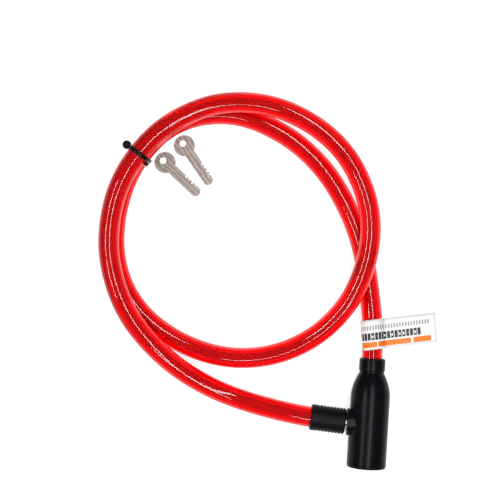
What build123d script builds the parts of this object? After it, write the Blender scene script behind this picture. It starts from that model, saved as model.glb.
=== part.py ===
from build123d import *
import math
import os

# A keyed cable lock: a bottle-shaped lock body on one end of a jacketed steel
# cable, a ribbed plug with a steel tongue on the other end, and two flat keys.
# Millimetres. Z = 0 is the surface it lies on. The lock's axis runs along Y
# and its side port opens along -X. The cable lies in a coil of nearly two turns.

# ---- driving sizes -----------------------------------------------------------
FIT = 0.3                # running clearance round anything that turns or slides
CABLE_D = 12.0           # outside of the jacket
CORE_D = 4.0             # steel rope
ROPE_GAP = 0.15          # radial, rope to jacket

LOCK_D = 23.0            # widest part of the sleeve
LOCK_LEN = 64.0          # end face to rim
SLEEVE_WALL = 1.5
NECK_WALL = 0.85         # sleeve round the cable
RIM_STEP = 0.45          # collar proud of the neck
RIM_LEN = 7.4
SHOULDER_LEN = 14.5      # rounded part between body and neck
CAP_T = 2.2              # end cap

BARREL_D = 12.0          # key barrel
BARREL_LEN = 18.2
BARREL_INSET = 0.1       # below the cap's face
CLIP_T = 0.8
CLIP_FROM_END = 1.2      # barrel's inner end to the clip
CLIP_DEPTH = 0.9         # groove in the barrel
WAFERS = 5
WAFER_T = 0.9
WAFER_PITCH = 2.5
WAFER_GAP = 0.2
WAFER_FIRST = 3.1        # from the barrel's face
BLADE_W = 6.0            # key blade
BLADE_T = 1.8
KEYWAY_GAP = 0.2

PORT_FROM_END = 25.2     # where the port's axis crosses the lock's, from the end face
PORT_LEAN = 4.0          # degrees, the port's axis off square, towards the cable end
BOSS_OUT = 1.5           # port boss, proud of the sleeve
BOSS_D = 15.8
TONGUE_D = 7.0
TONGUE_ROOT = 0.5        # its full round starts this deep in the ferrule
TONGUE_IN = 4.6          # past the lock's axis
GROOVE_D = 4.6           # neck of the tongue that the latch grips
GROOVE_W = 2.8
BUSH_WALL = 1.4

LATCH_T = 1.6
LATCH_RIM = 1.2          # metal left round the keyhole
CRANK_R = 2.2
CRANK_PIN_D = 1.6
CRANK_PIN_LEN = 2.1
FOOT_T = 1.4
FOOT_GAP = 0.5           # barrel end to foot

ANCHOR_WALL = 1.25
ANCHOR_LEN = 10.0
ANCHOR_FLOOR = 1.6       # housing metal between latch chamber and anchor
PIN_D = 2.0

PLUG_GAP = 0.9           # boss face to ferrule face on the axis, plug pushed home
PLUG_WALL = 1.3          # ferrule round the cable
PLUG_LEN = 20.5
PLUG_RIBS = 8
RIB_PITCH = 1.95
RIB_CUT = 0.75
RIB_DEPTH = 0.55
CRIMP_WALL = 1.4
CRIMP_LEN = 13.0
SHANK_D = 7.6
SHANK_LEN = 9.8          # tongue inside the ferrule
TONGUE_PIN_D = 1.8

KEY_LEN = 33.7
KEY_T = 1.8
BOW_D = 12.4
BOW_HOLE_D = 4.0

TIE_W = 2.4
TIE_T = 0.9
TIE_GAP = 0.3
TIE_AT = 263.0           # along the cable, from its start in the lock
TIE_AT_UPPER = 742.0
LABEL_T = 0.3
LABEL_GAP = 0.65
LABEL_W = 17.4
LABEL_FLAG = 31.0        # beyond the cable's side
LABEL_FROM_RIM = 14.1    # rim to the middle of the label

# ---- places ------------------------------------------------------------------
LX = 61.8
LY = -62.2
LZ = LOCK_D / 2
Y_END = LY - LOCK_LEN / 2
Y_RIM = LY + LOCK_LEN / 2
PY = Y_END + PORT_FROM_END

bore_r = LOCK_D / 2 - SLEEVE_WALL
housing_r = bore_r - FIT
cable_bore_r = CABLE_D / 2 + FIT
barrel_r = BARREL_D / 2
barrel_bore_r = barrel_r + FIT
tongue_r = TONGUE_D / 2
tongue_bore_r = tongue_r + FIT
y_house0 = Y_END + CAP_T
neck_r = cable_bore_r + NECK_WALL
rim_r = neck_r + RIM_STEP
y_rim0 = Y_RIM - RIM_LEN
y_neck = y_rim0 - 0.9
y_shoulder = y_neck - SHOULDER_LEN
y_house1 = y_shoulder - 0.2
y_barrel0 = Y_END + BARREL_INSET
y_barrel1 = y_barrel0 + BARREL_LEN
y_foot0 = y_barrel1 + FOOT_GAP
y_foot1 = y_foot0 + FOOT_T
keyhole_r = tongue_bore_r
latch_y1 = PY + keyhole_r + LATCH_RIM + 0.4
y_chamber1 = latch_y1 + FIT
y_anchor0 = y_chamber1 + ANCHOR_FLOOR
core_r = CORE_D / 2
jacket_in_r = core_r + ROPE_GAP + 0.05
anchor_in_r = core_r + FIT
anchor_r = anchor_in_r + ANCHOR_WALL
y_jacket = y_anchor0 + FIT + ANCHOR_LEN + 0.3
boss_x = LX - LOCK_D / 2 - BOSS_OUT
plug_x1 = boss_x - PLUG_GAP
plug_x0 = plug_x1 - PLUG_LEN
shank_x0 = plug_x1 - SHANK_LEN
crimp_x0 = shank_x0 - (CRIMP_LEN - 6.2)
crimp_x1 = crimp_x0 + CRIMP_LEN
jacket_x = crimp_x0 - 0.3
lean = math.radians(PORT_LEAN)
boss_y = PY + (LX - boss_x) * math.tan(lean)
to_port = Pos(LX, PY, LZ) * Rot(0, 0, -PORT_LEAN) * Pos(-LX, -PY, -LZ)


def along_y(radius, y0, y1, x=LX, z=LZ):
    return Pos(x, (y0 + y1) / 2, z) * Rot(90, 0, 0) * Cylinder(radius, y1 - y0)


def along_x(radius, x0, x1, y=PY, z=LZ):
    return Pos((x0 + x1) / 2, y, z) * Rot(0, 90, 0) * Cylinder(radius, x1 - x0)


def port_point(x):
    # a point of the port's leaning axis, for a distance given as if it ran along X
    away = LX - x
    return (LX - away * math.cos(lean), PY + away * math.sin(lean), LZ)


def along_z(radius, z0, z1, x, y):
    return Pos(x, y, (z0 + z1) / 2) * Cylinder(radius, z1 - z0)


def block(x0, x1, y0, y1, z0, z1):
    return Pos((x0 + x1) / 2, (y0 + y1) / 2, (z0 + z1) / 2) * Box(x1 - x0, y1 - y0, z1 - z0)


def turned(points):
    # points are (radius, y); the profile is closed and spun about the lock's axis
    face = make_face(Polyline(*points, close=True))
    return Pos(LX, 0, LZ) * revolve(face, Axis.Y, 360)


parts = {}

# ---- lock body ---------------------------------------------------------------
body_r = LOCK_D / 2
ease = 0.7
outline = [
    Line((0, y_house0), (body_r, y_house0)),
    Line((body_r, y_house0), (body_r, y_shoulder)),
    Bezier(
        (body_r, y_shoulder),
        (body_r, y_shoulder + 0.42 * SHOULDER_LEN),
        (neck_r + 1.6, y_neck - 0.2 * SHOULDER_LEN),
        (neck_r, y_neck),
    ),
    Line((neck_r, y_neck), (neck_r, y_rim0)),
    Line((neck_r, y_rim0), (rim_r, y_rim0 + 0.3)),
    Line((rim_r, y_rim0 + 0.3), (rim_r, Y_RIM - ease)),
    Line((rim_r, Y_RIM - ease), (rim_r - ease, Y_RIM)),
    Line((rim_r - ease, Y_RIM), (0, Y_RIM)),
    Line((0, Y_RIM), (0, y_house0)),
]
sleeve = Pos(LX, 0, LZ) * revolve(make_face(outline), Axis.Y, 360)
sleeve += along_x(BOSS_D / 2, boss_x, LX, boss_y)
sleeve -= along_y(bore_r, y_house0 - 1, y_house1 + FIT)
sleeve -= along_y(cable_bore_r, y_house1, Y_RIM + 1)
bush_r = tongue_bore_r + BUSH_WALL
sleeve -= to_port * along_x(bush_r, boss_x - 1, LX)
parts["outer_sleeve"] = sleeve

cap = turned(
    [
        (barrel_bore_r, Y_END),
        (body_r - 1.0, Y_END),
        (body_r - 0.3, Y_END + 0.3),
        (body_r, Y_END + 1.0),
        (body_r, y_house0 - 0.35),
        (body_r - 0.35, y_house0),
        (barrel_bore_r, y_house0),
    ]
)
parts["end_cap"] = cap

housing = along_y(housing_r, y_house0, y_house1)
housing -= along_y(barrel_bore_r, y_house0 - 1, y_barrel1 + 0.2)
clip_y0 = y_barrel1 - CLIP_FROM_END - CLIP_T
clip_y1 = clip_y0 + CLIP_T
clip_pocket_r = barrel_r + 1.4
housing -= along_y(clip_pocket_r, clip_y0 - FIT, clip_y1 + FIT)
housing -= to_port * along_x(tongue_bore_r, LX - LOCK_D, LX + TONGUE_IN + 0.6)
# latch chamber: a flat slot for the plate and a wider one for its foot
keyhole_drop = CRANK_R * math.sqrt(2)
slot_r = GROOVE_D / 2 + FIT
latch_z0 = -(keyhole_drop + slot_r + LATCH_RIM)
latch_z1 = keyhole_r + LATCH_RIM
half_t = LATCH_T / 2
housing -= block(
    LX - half_t - FIT,
    LX + half_t + FIT,
    y_barrel1,
    y_chamber1,
    LZ + latch_z0 - FIT,
    LZ + latch_z1 + keyhole_drop + FIT,
)
pin_x = CRANK_R / math.sqrt(2)
pin_r = CRANK_PIN_D / 2
foot_x1 = CRANK_R + pin_r + FIT + 1.1
foot_half = pin_r + FIT + 1.0
housing -= block(
    LX - half_t - FIT,
    LX + foot_x1 + FIT,
    y_barrel1,
    y_foot1 + FIT,
    LZ - pin_x - foot_half - FIT,
    LZ - pin_x + foot_half + keyhole_drop + FIT,
)
housing -= along_y(anchor_r + FIT, y_anchor0, y_house1 + 1)
housing -= along_y(cable_bore_r, y_jacket - FIT, max(y_house1, y_jacket) + 1)
y_pin = y_anchor0 + FIT + ANCHOR_LEN * 0.45
pin_hole_r = PIN_D / 2 + FIT
housing -= along_x(pin_hole_r, LX - LOCK_D, LX + LOCK_D, y_pin)
parts["lock_housing"] = housing

# spring-steel clip that keeps the barrel in
clip = along_y(clip_pocket_r - FIT, clip_y0, clip_y1)
clip -= along_y(barrel_r - CLIP_DEPTH + FIT, clip_y0 - 1, clip_y1 + 1)
clip -= block(LX - 2, LX + 2, clip_y0 - 1, clip_y1 + 1, LZ + 2, LZ + LOCK_D)
parts["retaining_clip"] = clip

bush = along_x(bush_r - 0.05, boss_x + 0.6, LX - housing_r - 0.5)
bush -= along_x(tongue_bore_r, boss_x - 1, LX)
parts["port_bush"] = to_port * bush

# ---- key barrel, wafers, latch -------------------------------------------------
wafer_half = barrel_r * 0.47
wafer_reach = barrel_r * 0.82
barrel = along_y(barrel_r, y_barrel0, y_barrel1)
barrel -= along_y(barrel_r + 1, clip_y0 - FIT, clip_y1 + FIT) - along_y(
    barrel_r - CLIP_DEPTH, clip_y0 - 1, clip_y1 + 1
)
keyway_x = BLADE_W / 2 + KEYWAY_GAP
keyway_z = BLADE_T / 2 + KEYWAY_GAP
barrel -= block(
    LX - keyway_x,
    LX + keyway_x,
    y_barrel0 - 1,
    clip_y0 - 1.0,
    LZ - keyway_z,
    LZ + keyway_z,
)
for n in range(WAFERS):
    yc = y_barrel0 + WAFER_FIRST + n * WAFER_PITCH - WAFER_PITCH * 0.2
    half = WAFER_T / 2
    barrel -= block(
        LX - barrel_r - 1,
        LX + barrel_r + 1,
        yc - half - WAFER_GAP,
        yc + half + WAFER_GAP,
        LZ - wafer_half - WAFER_GAP,
        LZ + wafer_half + WAFER_GAP,
    )
    wafer = block(
        LX - wafer_reach,
        LX + wafer_reach,
        yc - half,
        yc + half,
        LZ - wafer_half,
        LZ + wafer_half,
    )
    shift = 0.3 * ((n * 2) % 3 - 1)
    wafer -= block(
        LX - keyway_x - 0.4 + shift,
        LX + keyway_x + 0.4 + shift,
        yc - 2,
        yc + 2,
        LZ - keyway_z - 0.15,
        LZ + keyway_z + 0.15,
    )
    parts[f"wafer_{n + 1}"] = wafer
crank = along_y(pin_r, y_barrel1 - 0.5, y_barrel1 + CRANK_PIN_LEN, LX + pin_x, LZ - pin_x)
parts["key_barrel"] = barrel + crank

latch = block(
    LX - half_t,
    LX + half_t,
    y_foot0,
    latch_y1,
    LZ + latch_z0,
    LZ + latch_z1,
)
latch += block(
    LX - half_t,
    LX + foot_x1,
    y_foot0,
    y_foot1,
    LZ - pin_x - foot_half,
    LZ - pin_x + foot_half,
)
latch -= along_x(keyhole_r, LX - half_t - 1, LX + half_t + 0.5)
latch -= along_x(slot_r, LX - half_t - 1, LX + half_t + 0.5, PY, LZ - keyhole_drop)
latch -= block(
    LX - half_t - 1,
    LX + half_t + 0.5,
    PY - slot_r,
    PY + slot_r,
    LZ - keyhole_drop,
    LZ,
)
latch -= block(
    LX + pin_x - pin_r - FIT,
    LX + CRANK_R + pin_r + FIT,
    y_foot0 - 1,
    y_foot1 + 0.6,
    LZ - pin_x - pin_r - FIT,
    LZ - pin_x + pin_r + FIT,
)
parts["latch_plate"] = latch

# ---- cable -------------------------------------------------------------------
# The route, from inside the lock to inside the plug. The lower pass lies on the
# surface; the upper one rests on it round the left and the top of the coil.
ROUTE = [
    (61.8, -18.2, LZ),
    (58.0, 8.8, 7.4),
    (52.0, 36.6, 6.1),
    (40.5, 60.7, 6.1),
    (25.3, 81.3, 6.3),
    (4.2, 97.8, 6.5),
    (-24.2, 108.6, 7.0),
    (-51.7, 106.0, 7.5),
    (-72.7, 93.4, 7.6),
    (-89.0, 68.3, 7.4),
    (-95.2, 37.3, 6.4),
    (-91.2, 9.8, 6.1),
    (-76.7, -12.9, 6.2),
    (-53.4, -28.3, 6.1),
    (-25.2, -36.2, 6.2),
    (2.6, -33.3, 8.0),
    (26.5, -21.1, 12.6),
    (43.8, -2.2, 17.4),
    (52.9, 18.8, 19.5),
    (56.3, 41.6, 19.2),
    (52.6, 63.9, 18.6),
    (40.2, 86.7, 18.7),
    (21.3, 102.9, 19.0),
    (-5.0, 113.8, 19.3),
    (-34.5, 114.0, 19.8),
    (-58.1, 104.2, 20.1),
    (-76.7, 88.9, 20.2),
    (-92.6, 63.0, 20.0),
    (-97.2, 32.3, 19.2),
    (-92.5, 7.2, 18.9),
    (-81.0, -15.9, 18.2),
    (-61.6, -35.7, 15.2),
    (-41.8, -49.0, 10.2),
    (-18.0, -58.9, 6.7),
    port_point(17.0),
]
route = [(LX, y_jacket, LZ)] + ROUTE + [port_point(jacket_x)]
radii = []
for a, b, c in zip(route, route[1:], route[2:]):
    first = Vector(*b) - Vector(*a)
    second = Vector(*c) - Vector(*b)
    half_turn = math.radians(first.get_angle(second)) / 2
    radii.append(0.45 * min(first.length, second.length) / math.tan(half_turn))
print("cable radii:", [round(r) for r in radii])
path = FilletPolyline(*route, radius=radii)
jacket_r = CABLE_D / 2
start = Plane(origin=route[0], z_dir=(0, 1, 0))
jacket = sweep(start * (Circle(jacket_r) - Circle(jacket_in_r)), path=path)
expected = math.pi * (jacket_r**2 - jacket_in_r**2) * path.length
print("cable length:", round(path.length, 1), "volume ratio:", round(jacket.volume / expected, 4))
parts["cable_jacket"] = jacket

core_route = [(LX, y_anchor0 + FIT + 0.3, LZ)] + ROUTE + [port_point(shank_x0 - 0.3)]
core_path = FilletPolyline(*core_route, radius=radii)
core_start = Plane(origin=core_route[0], z_dir=(0, 1, 0))
core = sweep(core_start * Circle(core_r), path=core_path)
core -= along_x(pin_hole_r, LX - LOCK_D, LX + LOCK_D, y_pin)
parts["cable_core"] = core

anchor = along_y(anchor_r, y_anchor0 + FIT, y_anchor0 + FIT + ANCHOR_LEN)
anchor -= along_y(anchor_in_r, y_anchor0, y_anchor0 + ANCHOR_LEN + 2)
anchor -= along_x(pin_hole_r, LX - LOCK_D, LX + LOCK_D, y_pin)
parts["cable_anchor"] = anchor
parts["anchor_pin"] = along_x(PIN_D / 2, LX - housing_r + 0.3, LX + housing_r - 0.3, y_pin)

# ---- plug on the other end -----------------------------------------------------
plug_r = cable_bore_r + PLUG_WALL
shank_r = SHANK_D / 2
crimp_r = max(shank_r, core_r) + FIT + CRIMP_WALL
sleeve_bore = crimp_r + FIT
ferrule = along_x(plug_r, plug_x0, plug_x1)
ferrule = chamfer(ferrule.edges().filter_by(GeomType.CIRCLE), 0.8)
for n in range(PLUG_RIBS):
    xc = plug_x1 - 1.9 - n * RIB_PITCH
    ring = along_x(plug_r + 1, xc - RIB_CUT / 2, xc + RIB_CUT / 2)
    ring -= along_x(plug_r - RIB_DEPTH, xc - RIB_CUT, xc + RIB_CUT)
    ferrule -= ring
ferrule -= along_x(cable_bore_r, plug_x0 - 1, crimp_x0)
ferrule -= along_x(sleeve_bore, crimp_x0 - 0.1, crimp_x1 + FIT)
ferrule -= along_x(shank_r + FIT, crimp_x1, plug_x1 + 1)
ferrule -= along_x(tongue_bore_r, plug_x1 - TONGUE_ROOT - FIT, plug_x1 + 1)
parts["plug_sleeve"] = to_port * ferrule

x_tpin = (shank_x0 + crimp_x1) / 2
tpin_hole = TONGUE_PIN_D / 2 + FIT
crimp = along_x(crimp_r, crimp_x0, crimp_x1)
crimp -= along_x(core_r + FIT, crimp_x0 - 1, crimp_x1 + 1)
crimp -= along_x(shank_r + FIT, shank_x0 - FIT, crimp_x1 + 1)
crimp -= along_z(tpin_hole, LZ - plug_r, LZ + plug_r, x_tpin, PY)
parts["plug_crimp"] = to_port * crimp
parts["tongue_pin"] = to_port * along_z(TONGUE_PIN_D / 2, LZ - crimp_r + 0.1, LZ + crimp_r - 0.1, x_tpin, PY)

tongue_x1 = LX + TONGUE_IN
tongue = along_x(shank_r, shank_x0, plug_x1)
tongue += along_x(tongue_r, plug_x1 - TONGUE_ROOT, tongue_x1)
tip = tongue.edges().filter_by(GeomType.CIRCLE).sort_by(Axis.X)[-1]
tongue = chamfer(tip, 1.1)
neck = along_x(tongue_r + 1, LX - GROOVE_W / 2, LX + GROOVE_W / 2)
neck -= along_x(GROOVE_D / 2, LX - GROOVE_W, LX + GROOVE_W)
tongue -= neck
tongue -= along_z(tpin_hole, LZ - plug_r, LZ + plug_r, x_tpin, PY)
parts["tongue"] = to_port * tongue

# ---- tie round the coil --------------------------------------------------------
jacket_len = path.length
low = path.position_at(TIE_AT / jacket_len)
direction = path.tangent_at(TIE_AT / jacket_len)
high_t = TIE_AT_UPPER / jacket_len
for _ in range(12):
    miss = (path.position_at(high_t) - low).dot(direction)
    high_t -= miss / jacket_len / path.tangent_at(high_t).dot(direction)
high = path.position_at(high_t)
apart = high - low
tie_plane = Plane(origin=(low + high) * 0.5, x_dir=apart, z_dir=direction)
tie_in = 2 * (jacket_r + TIE_GAP)
tie_out = tie_in + 2 * TIE_T
strap = SlotCenterToCenter(apart.length, tie_out) - SlotCenterToCenter(apart.length, tie_in)
tie = extrude(tie_plane * strap, TIE_W / 2, both=True)
# lock head of the tie on the outer side of the upper pass
side = 1 if tie_plane.y_dir.dot(Vector(-1, 1, 0)) > 0 else -1
head_at = tie_plane.from_local_coords(Vector(apart.length / 2 - 1, side * (tie_out / 2 + 1.3), 0))
head = Plane(origin=head_at, x_dir=tie_plane.x_dir, z_dir=tie_plane.z_dir) * Box(5.0, 3.4, 4.4)
tail_at = tie_plane.from_local_coords(Vector(apart.length / 2 + 2.6, side * (tie_out / 2 + 1.3), 0))
tail = Plane(origin=tail_at, x_dir=tie_plane.x_dir, z_dir=tie_plane.z_dir) * Box(2.4, TIE_T, TIE_W)
parts["coil_tie"] = tie + head + tail

# ---- flag label on the cable just above the lock -------------------------------
label_t = (Y_RIM - y_jacket + LABEL_FROM_RIM) / jacket_len
at = path.position_at(label_t)
axis_dir = path.tangent_at(label_t)
label_plane = Plane(origin=at, x_dir=(1, 0, 0), z_dir=axis_dir)
label_in = jacket_r + LABEL_GAP
band = extrude(
    label_plane * (Circle(label_in + LABEL_T) - Circle(label_in)), LABEL_W / 2, both=True
)
flag = label_plane * Pos(label_in + 0.1 + LABEL_FLAG / 2, 0, 0) * Box(LABEL_FLAG, 2 * LABEL_T, LABEL_W)
parts["flag_label"] = band + flag

# ---- keys ----------------------------------------------------------------------
bow_r = BOW_D / 2
keyway_end = clip_y0 - 1.0
last_wafer = y_barrel0 + WAFER_FIRST + (WAFERS - 1.2) * WAFER_PITCH
first_cut = last_wafer - keyway_end


def key(tip_x, tip_y, heading):
    # flat key on the surface, drawn with its tip at the origin and pointing +X
    blade_len = KEY_LEN - BOW_D + 1.6
    half = BLADE_W / 2
    edge = [(0, 0.7), (-0.4, half - 1.4), (-1.0, half - 0.6), (-1.7, half - 0.15)]
    # the cuts meet the wafers when the tip reaches the end of the keyway
    cuts = [0.4, 0.7, 1.5, 0.9, 1.2]
    for n, deep in enumerate(cuts):
        x = first_cut - n * WAFER_PITCH
        edge += [(x + 0.75, half), (x + 0.25, half - deep), (x - 0.25, half - deep), (x - 0.75, half)]
    edge += [(-blade_len, half), (-blade_len, -half), (-2.2, -half), (-1.0, -half + 0.6)]
    edge += [(-0.4, -half + 1.4), (0, -0.7)]
    flat = make_face(Polyline(*edge, close=True))
    flat += Pos(-KEY_LEN + bow_r, 0) * Circle(bow_r)
    flat -= Pos(-KEY_LEN + bow_r - 1.6, 0) * Circle(BOW_HOLE_D / 2)
    solid = extrude(flat, KEY_T)
    solid -= block(-blade_len + 3, 1, -0.9, 0.3, KEY_T - 0.45, KEY_T + 1)
    return Pos(tip_x, tip_y, 0) * Rot(0, 0, heading) * solid


parts["key_1"] = key(-46.04, 59.7, -40)
parts["key_2"] = key(-39.4, 66.34, -52)

os.makedirs("parts", exist_ok=True)
for name, shape in parts.items():
    shape.label = name
    export_step(shape, f"parts/{name}.step")
print(len(parts), "sub-parts written")
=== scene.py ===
import math

import bpy
from mathutils import Matrix, Vector


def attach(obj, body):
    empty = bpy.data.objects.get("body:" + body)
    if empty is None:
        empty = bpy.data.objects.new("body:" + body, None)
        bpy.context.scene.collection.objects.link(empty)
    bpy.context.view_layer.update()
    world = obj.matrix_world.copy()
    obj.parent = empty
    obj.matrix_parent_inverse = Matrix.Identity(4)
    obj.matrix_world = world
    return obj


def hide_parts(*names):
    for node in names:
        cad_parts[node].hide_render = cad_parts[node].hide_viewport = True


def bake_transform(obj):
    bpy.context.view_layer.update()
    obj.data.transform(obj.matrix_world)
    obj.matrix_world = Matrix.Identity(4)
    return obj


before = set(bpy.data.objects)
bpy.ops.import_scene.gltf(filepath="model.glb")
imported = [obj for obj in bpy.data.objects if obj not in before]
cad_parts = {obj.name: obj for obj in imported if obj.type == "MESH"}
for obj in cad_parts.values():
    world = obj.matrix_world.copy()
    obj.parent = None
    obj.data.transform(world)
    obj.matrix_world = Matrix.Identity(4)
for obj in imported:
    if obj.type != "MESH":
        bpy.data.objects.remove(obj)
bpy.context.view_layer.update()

# ---- sizes, in metres; angles, in degrees ----------------------------------------
CABLE_R = 0.006
CABLE_SIDES = 40
ROPE_R = 0.0020
STRANDS = 6
STRAND_R = 0.00066
STRAND_LAY = 0.019  # along the rope for one turn of a strand
STRAND_SIDES = 8
STRAND_GAP = 0.00002  # from the strands' crests to the rope's outside
CORE_LAP = 0.0003  # how far the middle wire reaches into the strands
ROPE_END_Y = -0.0603  # the rope's end in the lock's crimp
ANCHOR_STEP = 0.0020
CRIMP_STEP = 0.0017
LOCK_X, LOCK_Z = 0.0618, 0.0115
PORT_WAY = Vector((0.99756, -0.06976, 0.0))

KEY_HEADINGS = (-40.0, -52.0)
KEY_STREAKS = 430.0  # painted highlight streaks along the blade, in a metre
WAFERS = 5

TIE_AT = Vector((-0.0806, 0.0809, 0.0075))
TIE_W = 0.0024
TIE_T = 0.0009
TIE_SLACK = 0.0003
TIE_SIDES = 48
HEAD_R = 0.00235
HEAD_LEN = 0.0046
HEAD_ROUND = 0.0011
TAIL_R = 0.0017
TAIL_W = 0.0020
TAIL_T = 0.0007
TAIL_TURNS = 15
PASS_RISE = 0.0125  # from the lower pass of the coil to the upper one

LABEL_AT = Vector((0.0612, -0.0150, 0.0108))
LABEL_W = 0.0174
LABEL_T = 0.00012
LABEL_SLACK = 0.00062
LABEL_TILT = 4.0
LABEL_BLOCKS = 46.0  # printed blocks in the strip's length
LABEL_TICKS = 62.0
FLAG_REACH = 0.0375
FLAG_BOW = 0.0011
FLAG_CURL = 0.0007
FLAG_CURL_FROM = 0.012
FLAG_SHEAR = 0.05
FLAG_STEPS = 26
FOLD_STEPS = 40
LABEL_ROWS = 9

# The cable's route, from inside the lock to inside the plug.
ROUTE = [
    (0.0618, -0.0503, 0.0115),
    (0.0618, -0.0182, 0.0115),
    (0.0580, 0.0088, 0.0074),
    (0.0520, 0.0366, 0.0061),
    (0.0405, 0.0607, 0.0061),
    (0.0253, 0.0813, 0.0063),
    (0.0042, 0.0978, 0.0065),
    (-0.0242, 0.1086, 0.0070),
    (-0.0517, 0.1060, 0.0075),
    (-0.0727, 0.0934, 0.0076),
    (-0.0890, 0.0683, 0.0074),
    (-0.0952, 0.0373, 0.0064),
    (-0.0912, 0.0098, 0.0061),
    (-0.0767, -0.0129, 0.0062),
    (-0.0534, -0.0283, 0.0061),
    (-0.0252, -0.0362, 0.0062),
    (0.0026, -0.0333, 0.0080),
    (0.0265, -0.0211, 0.0126),
    (0.0438, -0.0022, 0.0174),
    (0.0529, 0.0188, 0.0195),
    (0.0563, 0.0416, 0.0192),
    (0.0526, 0.0639, 0.0186),
    (0.0402, 0.0867, 0.0187),
    (0.0213, 0.1029, 0.0190),
    (-0.0050, 0.1138, 0.0193),
    (-0.0345, 0.1140, 0.0198),
    (-0.0581, 0.1042, 0.0201),
    (-0.0767, 0.0889, 0.0202),
    (-0.0926, 0.0630, 0.0200),
    (-0.0972, 0.0323, 0.0192),
    (-0.0925, 0.0072, 0.0189),
    (-0.0810, -0.0159, 0.0182),
    (-0.0616, -0.0357, 0.0152),
    (-0.0418, -0.0490, 0.0102),
    (-0.0180, -0.0589, 0.0067),
    (0.01711, -0.06588, 0.0115),
    (0.03107, -0.06685, 0.0115),
]


# ---- shader helpers ------------------------------------------------------------
class Value:
    """A number socket that takes Python's operators."""

    def __init__(self, shader, socket):
        self.shader = shader
        self.socket = socket

    def op(self, name, *others):
        return self.shader.value("ShaderNodeMath", {"operation": name}, [self, *others])

    def __add__(self, other):
        return self.op("ADD", other)

    def __radd__(self, other):
        return self.op("ADD", other)

    def __sub__(self, other):
        return self.op("SUBTRACT", other)

    def __rsub__(self, other):
        return self.shader.value("ShaderNodeMath", {"operation": "SUBTRACT"}, [other, self])

    def __mul__(self, other):
        return self.op("MULTIPLY", other)

    def __rmul__(self, other):
        return self.op("MULTIPLY", other)

    def __gt__(self, other):
        return self.op("GREATER_THAN", other)

    def __lt__(self, other):
        return self.op("LESS_THAN", other)

    def fraction(self):
        return self.op("FRACT")

    def clamp(self):
        settings = {"operation": "ADD", "use_clamp": True}
        return self.shader.value("ShaderNodeMath", settings, [self, 0.0])

    def between(self, low, high):
        return (self > low) * (self < high)


class Shader:
    """A material's node tree with one way to add any node."""

    def __init__(self, name, **surface):
        self.material = bpy.data.materials.new(name)
        self.material.use_nodes = True
        self.tree = self.material.node_tree
        self.surface = self.tree.nodes["Principled BSDF"]
        for socket, value in surface.items():
            self.put(self.surface.inputs[socket.replace("_", " ")], value)

    def put(self, socket, value):
        if isinstance(value, Value):
            value = value.socket
        if isinstance(value, bpy.types.NodeSocket):
            self.tree.links.new(value, socket)
        else:
            socket.default_value = value

    def node(self, kind, settings=None, inputs=None):
        node = self.tree.nodes.new(kind)
        for key, value in (settings or {}).items():
            setattr(node, key, value)
        pairs = inputs.items() if isinstance(inputs, dict) else enumerate(inputs or [])
        for key, value in pairs:
            self.put(node.inputs[key], value)
        return node

    def value(self, kind, settings=None, inputs=None):
        return Value(self, self.node(kind, settings, inputs).outputs[0])

    def coords(self, kind, scale=(1, 1, 1)):
        source = self.node("ShaderNodeTexCoord").outputs[kind]
        return self.node("ShaderNodeMapping", None, {"Vector": source, "Scale": scale}).outputs[0]

    def axes(self, vector):
        parts = self.node("ShaderNodeSeparateXYZ", None, [vector])
        return [Value(self, socket) for socket in parts.outputs]

    def noise(self, vector, scale, detail=2.0, roughness=0.5):
        inputs = {"Vector": vector, "Scale": scale, "Detail": detail, "Roughness": roughness}
        return self.value("ShaderNodeTexNoise", None, inputs)

    def mix(self, factor, first, second):
        inputs = {0: factor, 6: first, 7: second}
        return self.node("ShaderNodeMix", {"data_type": "RGBA"}, inputs).outputs[2]

    def spread(self, value, low, high):
        inputs = {"Value": value, "To Min": low, "To Max": high}
        return self.value("ShaderNodeMapRange", None, inputs)

    def bump(self, height, strength, distance):
        inputs = {"Strength": strength, "Distance": distance, "Height": height}
        bumped = self.node("ShaderNodeBump", None, inputs)
        self.put(self.surface.inputs["Normal"], bumped.outputs[0])

    def set(self, **links):
        for socket, value in links.items():
            self.put(self.surface.inputs[socket.replace("_", " ")], value)
        return self.material


def rgb(r, g, b):
    return (r, g, b, 1.0)


# ---- materials -----------------------------------------------------------------
def red_vinyl():
    s = Shader("clear_red_vinyl", Transmission_Weight=0.8, IOR=1.42, Specular_IOR_Level=0.5)
    cloud = s.noise(s.coords("Object"), 90.0, 3.0)
    ripple = s.noise(s.coords("Object"), 90.0, 2.0)
    colour = s.mix(cloud, rgb(1.0, 0.001, 0.002), rgb(0.93, 0.0, 0.003))
    s.bump(ripple, 0.01, 0.0002)
    return s.set(Base_Color=colour, Roughness=s.spread(cloud, 0.02, 0.05))


def steel_rope():
    """Painted light on the strands' crests and painted shade in the grooves between them."""
    s = Shader("steel_rope", Metallic=0.1)
    crest, along, _ = s.axes(s.coords("UV"))
    crest_light_groove_shade = ((crest - 0.5) * 2.2).clamp()
    wires = ((along * 5.0 + crest * 2.0).fraction() - 0.5).op("ABSOLUTE") * 2.0
    cloud = s.noise(s.coords("Object"), 320.0, 3.0)
    # painted light and shade: bright steel on the strands' crests, a dark painted shade on their
    # sides towards the rope's middle
    colour = s.mix(crest_light_groove_shade, rgb(0.04, 0.035, 0.035), rgb(0.95, 0.93, 0.92))
    # painted shade: a darker grey in the grooves between the fine wires
    colour = s.mix(wires * 0.25, colour, rgb(0.30, 0.28, 0.28))
    s.bump(1.0 - wires, 0.5, 0.0001)
    return s.set(Base_Color=colour, Roughness=s.spread(cloud, 0.35, 0.52))


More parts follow.
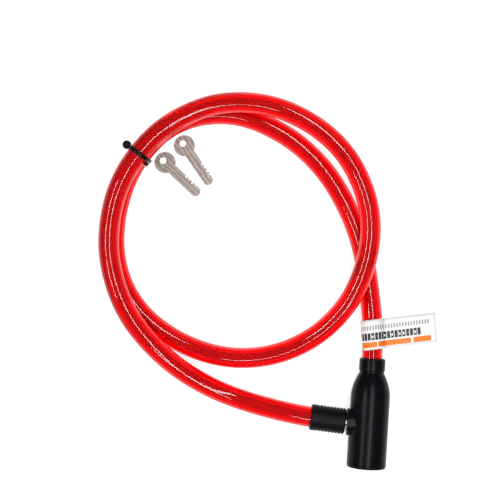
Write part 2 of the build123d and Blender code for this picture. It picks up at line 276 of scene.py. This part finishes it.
def black_moulding(name, base, rough, grain=0.22):
    s = Shader(name, Specular_IOR_Level=0.09)
    place = s.coords("Object")
    cloud = s.noise(place, 60.0, 4.0)
    pits = s.noise(place, 2600.0, 2.0)
    scuffs = s.noise(s.coords("Object", (900, 60, 900)), 1.0, 4.0, 0.6)
    wear = (scuffs > 0.66) * 0.5
    lift = tuple(min(1.0, c * 1.8 + 0.002) for c in base[:3]) + (1.0,)
    colour = s.mix(s.spread(cloud, 0.0, 0.35) + wear * 0.12, base, lift)
    s.bump(pits + scuffs * 0.4, grain, 0.0002)
    roughness = s.spread(cloud, rough - 0.05, rough + 0.08) + wear * 0.08
    return s.set(Base_Color=colour, Roughness=roughness)


def metal(name, base, worn, rough, stretch=(300, 3000, 300)):
    s = Shader(name, Metallic=1.0)
    lines = s.noise(s.coords("Object", stretch), 1.0, 3.0, 0.6)
    cloud = s.noise(s.coords("Object"), 160.0, 4.0)
    colour = s.mix(s.spread(cloud, 0.0, 0.8), base, worn)
    s.bump(lines, 0.25, 0.0001)
    return s.set(Base_Color=colour, Roughness=s.spread(lines, rough - 0.07, rough + 0.1))


def key_plate(name, heading):
    """Rolled nickel plate with painted highlight streaks along the blade and darker painted shade
    between them.
    """
    s = Shader(name, Metallic=1.0)
    x, y, _ = s.axes(s.coords("Object"))
    turn = math.radians(heading)
    across = y * math.cos(turn) + x * math.sin(-turn)
    cloud = s.noise(s.coords("Object"), 260.0, 4.0)
    highlight_streaks = ((across * KEY_STREAKS + cloud * 1.3).fraction() - 0.5).op("ABSOLUTE") * 2.0
    # painted highlight: light streaks along the blade, with a darker painted shade between them
    colour = s.mix(highlight_streaks * 0.55, rgb(0.34, 0.285, 0.26), rgb(0.07, 0.054, 0.048))
    s.bump(1.0 - highlight_streaks, 0.25, 0.0001)
    return s.set(Base_Color=colour, Roughness=s.spread(cloud, 0.28, 0.46))


def cast(name):
    s = Shader(name, Metallic=0.85)
    grit = s.noise(s.coords("Object"), 900.0, 4.0)
    cloud = s.noise(s.coords("Object"), 120.0, 3.0)
    colour = s.mix(cloud, rgb(0.34, 0.34, 0.35), rgb(0.52, 0.52, 0.53))
    s.bump(grit, 0.5, 0.0003)
    return s.set(Base_Color=colour, Roughness=s.spread(grit, 0.42, 0.62))


def label_stock():
    """White stock with an orange rule, a row of dark blocks and a row of grey ticks."""
    s = Shader("printed_label", Specular_IOR_Level=0.35)
    u, v, _ = s.axes(s.coords("UV"))
    fibre = s.noise(s.coords("Object"), 1500.0, 3.0)
    paper = s.mix(fibre, rgb(0.86, 0.86, 0.85), rgb(0.93, 0.93, 0.92))
    rule = v.between(0.08, 0.26) * u.between(0.034, 0.53)
    breaks = u.between(0.135, 0.15) + u.between(0.375, 0.383)
    rule = rule * (1.0 - breaks)
    cells = (u * LABEL_BLOCKS).fraction()
    width = s.noise(s.coords("UV", (LABEL_BLOCKS, 0.0, 0.0)), 1.0, 0.0)
    blocks = v.between(0.32, 0.56) * (cells > 0.2) * u.between(0.09, 0.52)
    hollow = v.between(0.39, 0.47) * (cells > 0.45) * (cells < 0.85) * (width > 0.5)
    blocks = blocks * (1.0 - hollow)
    ticks = v.between(0.66, 0.80) * ((u * LABEL_TICKS).fraction() > 0.45) * u.between(0.04, 0.52)
    colour = s.mix(rule, paper, rgb(0.95, 0.20, 0.004))
    colour = s.mix(ticks * 0.75, colour, rgb(0.16, 0.15, 0.17))
    colour = s.mix(blocks, colour, rgb(0.018, 0.018, 0.03))
    s.bump(fibre, 0.15, 0.0001)
    return s.set(Base_Color=colour, Roughness=s.spread(fibre, 0.38, 0.5))


def floor_paper():
    glow = {"Emission_Color": rgb(1, 1, 1), "Emission_Strength": 0.80}
    s = Shader("studio_floor", Specular_IOR_Level=0.0, **glow)
    cloud = s.noise(s.coords("Object"), 3.0, 2.0)
    colour = s.mix(cloud, rgb(0.40, 0.40, 0.40), rgb(0.43, 0.43, 0.43))
    return s.set(Base_Color=colour, Roughness=0.7)


vinyl = red_vinyl()
rope_steel = steel_rope()
lock_black = black_moulding("lock_sleeve_black", rgb(0.0025, 0.0025, 0.004), 0.25)
cap_black = black_moulding("end_cap_black", rgb(0.004, 0.004, 0.005), 0.26, 0.1)
plug_black = black_moulding("plug_black", rgb(0.004, 0.004, 0.005), 0.42, 0.3)
tie_black = black_moulding("tie_black", rgb(0.004, 0.004, 0.004), 0.34, 0.12)
zinc = cast("cast_zinc")
steel = metal("turned_steel", rgb(0.62, 0.62, 0.63), rgb(0.48, 0.47, 0.46), 0.24)
spring = metal("spring_steel", rgb(0.36, 0.37, 0.40), rgb(0.25, 0.25, 0.27), 0.34)
brass = metal("barrel_brass", rgb(0.66, 0.56, 0.34), rgb(0.50, 0.40, 0.22), 0.28, (600, 600, 600))
wafer_metal = metal("wafer_brass", rgb(0.72, 0.55, 0.26), rgb(0.55, 0.40, 0.18), 0.3)
crimp_metal = metal("crimp_alloy", rgb(0.60, 0.60, 0.61), rgb(0.45, 0.45, 0.46), 0.38)
first_key = key_plate("key_nickel_1", KEY_HEADINGS[0])
second_key = key_plate("key_nickel_2", KEY_HEADINGS[1])
label_print = label_stock()
paper_floor = floor_paper()

finishes = {
    "outer_sleeve": lock_black,
    "end_cap": cap_black,
    "lock_housing": zinc,
    "retaining_clip": spring,
    "port_bush": steel,
    "cable_anchor": crimp_metal,
    "anchor_pin": steel,
    "key_barrel": brass,
    "latch_plate": spring,
    "tongue": steel,
    "plug_crimp": crimp_metal,
    "tongue_pin": steel,
    "plug_sleeve": plug_black,
    "key_1": first_key,
    "key_2": second_key,
}
for n in range(1, WAFERS + 1):
    finishes[f"wafer_{n}"] = wafer_metal
for node, finish in finishes.items():
    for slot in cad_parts[node].material_slots:
        slot.material = finish


# ---- modelling helpers ---------------------------------------------------------
def clear():
    if bpy.context.object and bpy.context.object.mode != "OBJECT":
        bpy.ops.object.mode_set(mode="OBJECT")
    bpy.ops.object.select_all(action="DESELECT")


def settle(name, material):
    """Names the active object, bakes its place into its mesh and gives it its finish."""
    piece = bpy.context.object
    if piece.mode != "OBJECT":
        bpy.ops.object.mode_set(mode="OBJECT")
    piece.name = name
    piece.data.name = name
    bpy.ops.object.transform_apply(location=True, rotation=True, scale=True)
    piece.data.materials.clear()
    piece.data.materials.append(material)
    return piece


def finish_with(piece, kind, name, **settings):
    modifier = piece.modifiers.new(name, kind)
    for key, value in settings.items():
        setattr(modifier, key, value)
    bpy.context.view_layer.objects.active = piece
    bpy.ops.object.modifier_apply(modifier=name)


def ease_edges(piece, width):
    """Rounds a piece's sharp edges."""
    sharp = {"limit_method": "ANGLE", "angle_limit": math.radians(50)}
    finish_with(piece, "BEVEL", "eased", width=width, segments=2, **sharp)


def put_on(piece, origin, x_dir, z_dir):
    """Turns a piece modelled at the origin onto a plane and applies it."""
    z_axis = Vector(z_dir).normalized()
    x_axis = Vector(x_dir)
    x_axis = (x_axis - z_axis * x_axis.dot(z_axis)).normalized()
    y_axis = z_axis.cross(x_axis)
    turn = Matrix((x_axis, y_axis, z_axis)).transposed().to_4x4()
    piece.data.transform(Matrix.Translation(Vector(origin)) @ turn)
    piece.data.update()
    return piece


def mesh_piece(name, points, faces, uvs, material):
    data = bpy.data.meshes.new(name)
    data.from_pydata(points, [], faces)
    layer = data.uv_layers.new(name="UVMap")
    layer.data.foreach_set("uv", [c for face in uvs for uv in face for c in uv])
    data.polygons.foreach_set("use_smooth", [True] * len(data.polygons))
    data.materials.append(material)
    piece = bpy.data.objects.new(name, data)
    bpy.context.scene.collection.objects.link(piece)
    return piece


# ---- cable ---------------------------------------------------------------------
def spline_points(route):
    curve = bpy.data.curves.new("route", "CURVE")
    curve.dimensions = "3D"
    spline = curve.splines.new("NURBS")
    spline.points.add(len(route) - 1)
    for point, place in zip(spline.points, route):
        point.co = (*place, 1.0)
    spline.order_u = 3
    spline.use_endpoint_u = True
    spline.resolution_u = 12
    holder = bpy.data.objects.new("route", curve)
    bpy.context.scene.collection.objects.link(holder)
    bpy.context.view_layer.update()
    line = bpy.data.meshes.new_from_object(holder)
    places = [v.co.copy() for v in line.vertices]
    bpy.data.objects.remove(holder)
    return places


def frames_along(line):
    """At each point: distance along, tangent, and two directions across that don't twist."""
    out = []
    across = Vector((0, 0, 1))
    travelled = 0.0
    for i, point in enumerate(line):
        ahead = line[min(i + 1, len(line) - 1)]
        behind = line[max(i - 1, 0)]
        tangent = (ahead - behind).normalized()
        across = (across - tangent * across.dot(tangent)).normalized()
        if i:
            travelled += (point - line[i - 1]).length
        out.append((point, travelled, tangent, across.copy(), tangent.cross(across)))
    return out


def tube(line, radius, sides):
    """A closed tube along a line: its points, faces and UVs."""
    rings = frames_along(line)
    points, faces, uvs = [], [], []
    for point, _, _, a, b in rings:
        for k in range(sides):
            angle = 2 * math.pi * k / sides
            points.append(point + (a * math.cos(angle) + b * math.sin(angle)) * radius)
    for i in range(len(rings) - 1):
        v0, v1 = (ring[1] / (2 * math.pi * radius) for ring in rings[i : i + 2])
        here, there = i * sides, (i + 1) * sides
        for k in range(sides):
            n = (k + 1) % sides
            faces.append((here + k, here + n, there + n, there + k))
            u0, u1 = k / sides, (k + 1) / sides
            uvs.append([(u0, v0), (u1, v0), (u1, v1), (u0, v1)])
    last = (len(rings) - 1) * sides
    faces.append(tuple(reversed(range(sides))))
    faces.append(tuple(last + k for k in range(sides)))
    uvs += [[(0.0, 0.0)] * sides] * 2
    return points, faces, uvs


def add_part(whole, part):
    """Adds one part's points, faces and UVs to those of the whole."""
    shift = len(whole[0])
    whole[0].extend(part[0])
    whole[1].extend(tuple(i + shift for i in face) for face in part[1])
    whole[2].extend(part[2])


line = spline_points(ROUTE)
rings = frames_along(line)
jacket = mesh_piece("jacket", *tube(line, CABLE_R, CABLE_SIDES), vinyl)
for end in (-2, -1):
    jacket.data.polygons[end].use_smooth = False

# twisted strands of the rope, laid round the cable's line and on into its two grips
into_anchor = [Vector((LOCK_X, ROPE_END_Y + ANCHOR_STEP * n, LOCK_Z)) for n in range(5)]
into_crimp = [line[-1] + PORT_WAY * CRIMP_STEP * (n + 1) for n in range(4)]
rope_line = into_anchor + line + into_crimp
rope_rings = frames_along(rope_line)
lay_r = ROPE_R - STRAND_R - STRAND_GAP
core_r = lay_r - STRAND_R + CORE_LAP


def strand_tube(n):
    """One strand; across it, UV 0 faces the rope's middle and 1 is its crest."""
    path = []
    for point, travelled, _, a, b in rope_rings:
        angle = 2 * math.pi * (travelled / STRAND_LAY + n / STRANDS)
        path.append(point + (a * math.cos(angle) + b * math.sin(angle)) * lay_r)
    points, faces, uvs = tube(path, STRAND_R, STRAND_SIDES)
    crest = []
    for i, place in enumerate(points):
        deep = (place - rope_line[i // STRAND_SIDES]).length - (lay_r - STRAND_R)
        crest.append(deep / (2 * STRAND_R))
    uvs = [[(crest[i], uv[1]) for i, uv in zip(*pair)] for pair in zip(faces, uvs)]
    return points, faces, uvs


rope_mesh = ([], [], [])
for n in range(STRANDS):
    add_part(rope_mesh, strand_tube(n))
add_part(rope_mesh, tube(rope_line, core_r, STRAND_SIDES))
rope = mesh_piece("wire_rope", *rope_mesh, rope_steel)


# ---- tie round the coil --------------------------------------------------------
def nearest(line_rings, low, high, place):
    inside = [ring for ring in line_rings if low < ring[1] < high]
    return min(inside, key=lambda ring: (ring[0] - place).length)


lower = nearest(rings, 0.20, 0.30, TIE_AT)
upper = nearest(rings, 0.66, 0.80, lower[0] + Vector((0, 0, PASS_RISE)))
apart = upper[0] - lower[0]
apart -= lower[2] * apart.dot(lower[2])
centre = lower[0] + apart * 0.5
loop_r = CABLE_R + TIE_SLACK
half = apart.length / 2
upward = apart.normalized()

clear()
bpy.ops.mesh.primitive_circle_add(
    vertices=TIE_SIDES, radius=loop_r + TIE_T / 2, rotation=(0, 0, math.pi / TIE_SIDES)
)
strap = bpy.context.object
bpy.ops.object.transform_apply(rotation=True)
for vertex in strap.data.vertices:
    vertex.co.x += half if vertex.co.x > 0 else -half
bpy.ops.object.mode_set(mode="EDIT")
bpy.ops.mesh.select_all(action="SELECT")
bpy.ops.transform.translate(value=(0, 0, -TIE_W / 2))
bpy.ops.mesh.extrude_edges_move(TRANSFORM_OT_translate={"value": (0, 0, TIE_W)})
bpy.ops.mesh.select_all(action="SELECT")
bpy.ops.mesh.normals_make_consistent(inside=False)
strap = settle("tie_strap", tie_black)
finish_with(strap, "SOLIDIFY", "wall", thickness=TIE_T, offset=0)
ease_edges(strap, 0.00025)
bpy.ops.object.shade_smooth_by_angle(angle=math.radians(40))
put_on(strap, centre, apart, lower[2])

side = apart.cross(lower[2]).normalized()
outward = Vector((-1, 1, 0)).normalized()
if side.dot(outward) < 0:
    side = -side
clear()
bpy.ops.mesh.primitive_cylinder_add(vertices=32, radius=HEAD_R, depth=HEAD_LEN)
bpy.ops.object.mode_set(mode="EDIT")
bpy.ops.mesh.select_all(action="SELECT")
bpy.ops.mesh.bevel(offset=HEAD_ROUND, segments=4, affect="EDGES")
bpy.ops.object.mode_set(mode="OBJECT")
head = settle("tie_head", tie_black)
bpy.ops.object.shade_smooth_by_angle(angle=math.radians(35))
head_at = centre + upward * (half - 0.0005) + side * (loop_r + 0.0022)
put_on(head, head_at, lower[2], apart)


def curled_tail():
    """The strap's cut end, curled under beside the coil on its inner side."""
    hub = centre + upward * (half + 0.0010) - side * (loop_r + 0.0008) + lower[2] * TIE_W
    points, faces, uvs = [], [], []
    for i in range(TAIL_TURNS + 1):
        angle = math.radians(100 - 290 * i / TAIL_TURNS)
        for across in (-TAIL_W / 2, TAIL_W / 2):
            for deep in (0.0, TAIL_T):
                reach = TAIL_R - deep
                place = side * -math.cos(angle) * reach + upward * math.sin(angle) * reach
                points.append(hub + place + lower[2] * across)
    for i in range(TAIL_TURNS):
        a, b = i * 4, i * 4 + 4
        for p, q in ((0, 1), (1, 3), (3, 2), (2, 0)):
            faces.append((a + p, a + q, b + q, b + p))
            uvs.append([(0, 0), (1, 0), (1, 1), (0, 1)])
    last = TAIL_TURNS * 4
    faces += [(0, 2, 3, 1), (last, last + 1, last + 3, last + 2)]
    uvs += [[(0, 0), (1, 0), (1, 1), (0, 1)]] * 2
    piece = mesh_piece("tie_tail", points, faces, uvs, tie_black)
    clear()
    piece.select_set(True)
    bpy.context.view_layer.objects.active = piece
    bpy.ops.object.mode_set(mode="EDIT")
    bpy.ops.mesh.select_all(action="SELECT")
    bpy.ops.mesh.normals_make_consistent(inside=False)
    bpy.ops.object.mode_set(mode="OBJECT")
    ease_edges(piece, 0.0002)
    bpy.ops.object.shade_smooth_by_angle(angle=math.radians(40))
    return piece


tail = curled_tail()


# ---- flag label ----------------------------------------------------------------
def folded_label():
    """A strip that goes out along the flag, round the cable and back."""
    at = nearest(rings, 0.02, 0.06, LABEL_AT)
    turn = Matrix.Rotation(math.radians(LABEL_TILT), 3, "Z")
    axis = (turn @ at[2]).normalized()
    x_axis = Vector((1, 0, 0))
    x_axis = (x_axis - axis * x_axis.dot(axis)).normalized()
    up = x_axis.cross(axis)
    radius = CABLE_R + LABEL_SLACK
    begin = math.asin(LABEL_T / radius)

    def flag(order, face):
        for i in order:
            x = FLAG_REACH + (radius - FLAG_REACH) * i / FLAG_STEPS
            bow = FLAG_BOW * math.sin(math.pi * i / FLAG_STEPS)
            profile.append((x, bow + face))

    profile = []
    flag(range(FLAG_STEPS), LABEL_T)
    for i in range(FOLD_STEPS + 1):
        angle = begin + (2 * math.pi - 2 * begin) * i / FOLD_STEPS
        profile.append((radius * math.cos(angle), radius * math.sin(angle)))
    flag(reversed(range(FLAG_STEPS)), -LABEL_T)
    length = [0.0]
    for (x0, y0), (x1, y1) in zip(profile, profile[1:]):
        length.append(length[-1] + math.hypot(x1 - x0, y1 - y0))
    last_row = LABEL_ROWS - 1
    points, faces, uvs = [], [], []
    for j in range(LABEL_ROWS):
        across = (j / last_row - 0.5) * LABEL_W
        for x, z in profile:
            far = max(0.0, (x - FLAG_CURL_FROM) / FLAG_REACH)
            curl = FLAG_CURL * (across / LABEL_W * 2) ** 2 * far
            slid = axis * (across + x * FLAG_SHEAR)
            points.append(at[0] + x_axis * x + up * (z - curl) + slid)
    count = len(profile)
    for j in range(last_row):
        here, there = j * count, (j + 1) * count
        for i in range(count - 1):
            faces.append((here + i, there + i, there + i + 1, here + i + 1))
            u0, u1 = length[i] / length[-1], length[i + 1] / length[-1]
            v0, v1 = j / last_row, (j + 1) / last_row
            uvs.append([(u0, v0), (u0, v1), (u1, v1), (u1, v0)])
    piece = mesh_piece("folded_label", points, faces, uvs, label_print)
    clear()
    piece.select_set(True)
    finish_with(piece, "SOLIDIFY", "stock", thickness=LABEL_T, offset=-1)
    return piece, length[-1]


label, strip = folded_label()


# ---- what moves with what --------------------------------------------------------
for piece in (jacket, rope):
    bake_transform(piece)
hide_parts("cable_jacket")
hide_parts("cable_core")
for piece in (strap, head, tail):
    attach(piece, "lock")
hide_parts("coil_tie")
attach(label, "lock")
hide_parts("flag_label")

# ---- floor, lights, camera -------------------------------------------------------
clear()
bpy.ops.mesh.primitive_plane_add(size=4.0, location=(0, 0, 0))
floor = settle("floor", paper_floor)


def soft_light(name, place, target, size, power):
    data = bpy.data.lights.new(name, "AREA")
    data.shape = "RECTANGLE"
    data.size, data.size_y = size
    data.energy = power
    lamp = bpy.data.objects.new(name, data)
    bpy.context.scene.collection.objects.link(lamp)
    lamp.location = place
    aim = Vector(target) - Vector(place)
    lamp.rotation_euler = aim.to_track_quat("-Z", "Y").to_euler()


soft_light("top_strip", (0.18, 0.03, 1.02), (0.12, 0.03, 0), (0.95, 0.13), 6.2)
soft_light("left_box", (-0.62, -0.03, 0.95), (-0.09, 0.0, 0), (0.55, 0.10), 3.8)
soft_light("front_strip", (0.12, -0.50, 1.0), (0.04, -0.03, 0), (0.55, 0.10), 2.6)
world = bpy.data.worlds.new("studio")
world.use_nodes = True
sky = world.node_tree.nodes["Background"].inputs
sky["Color"].default_value = (1, 1, 1, 1)
sky["Strength"].default_value = 0.20
bpy.context.scene.world = world
bpy.context.scene.view_settings.view_transform = "Standard"

camera_data = bpy.data.cameras.new("camera")
camera_data.sensor_width = 36.0
camera_data.lens = 99.45
camera = bpy.data.objects.new("camera", camera_data)
bpy.context.scene.collection.objects.link(camera)
camera.location = (-0.01373, 0.02872, 0.820)
camera.rotation_euler = (0, 0, math.radians(3.5))
bpy.context.scene.camera = camera
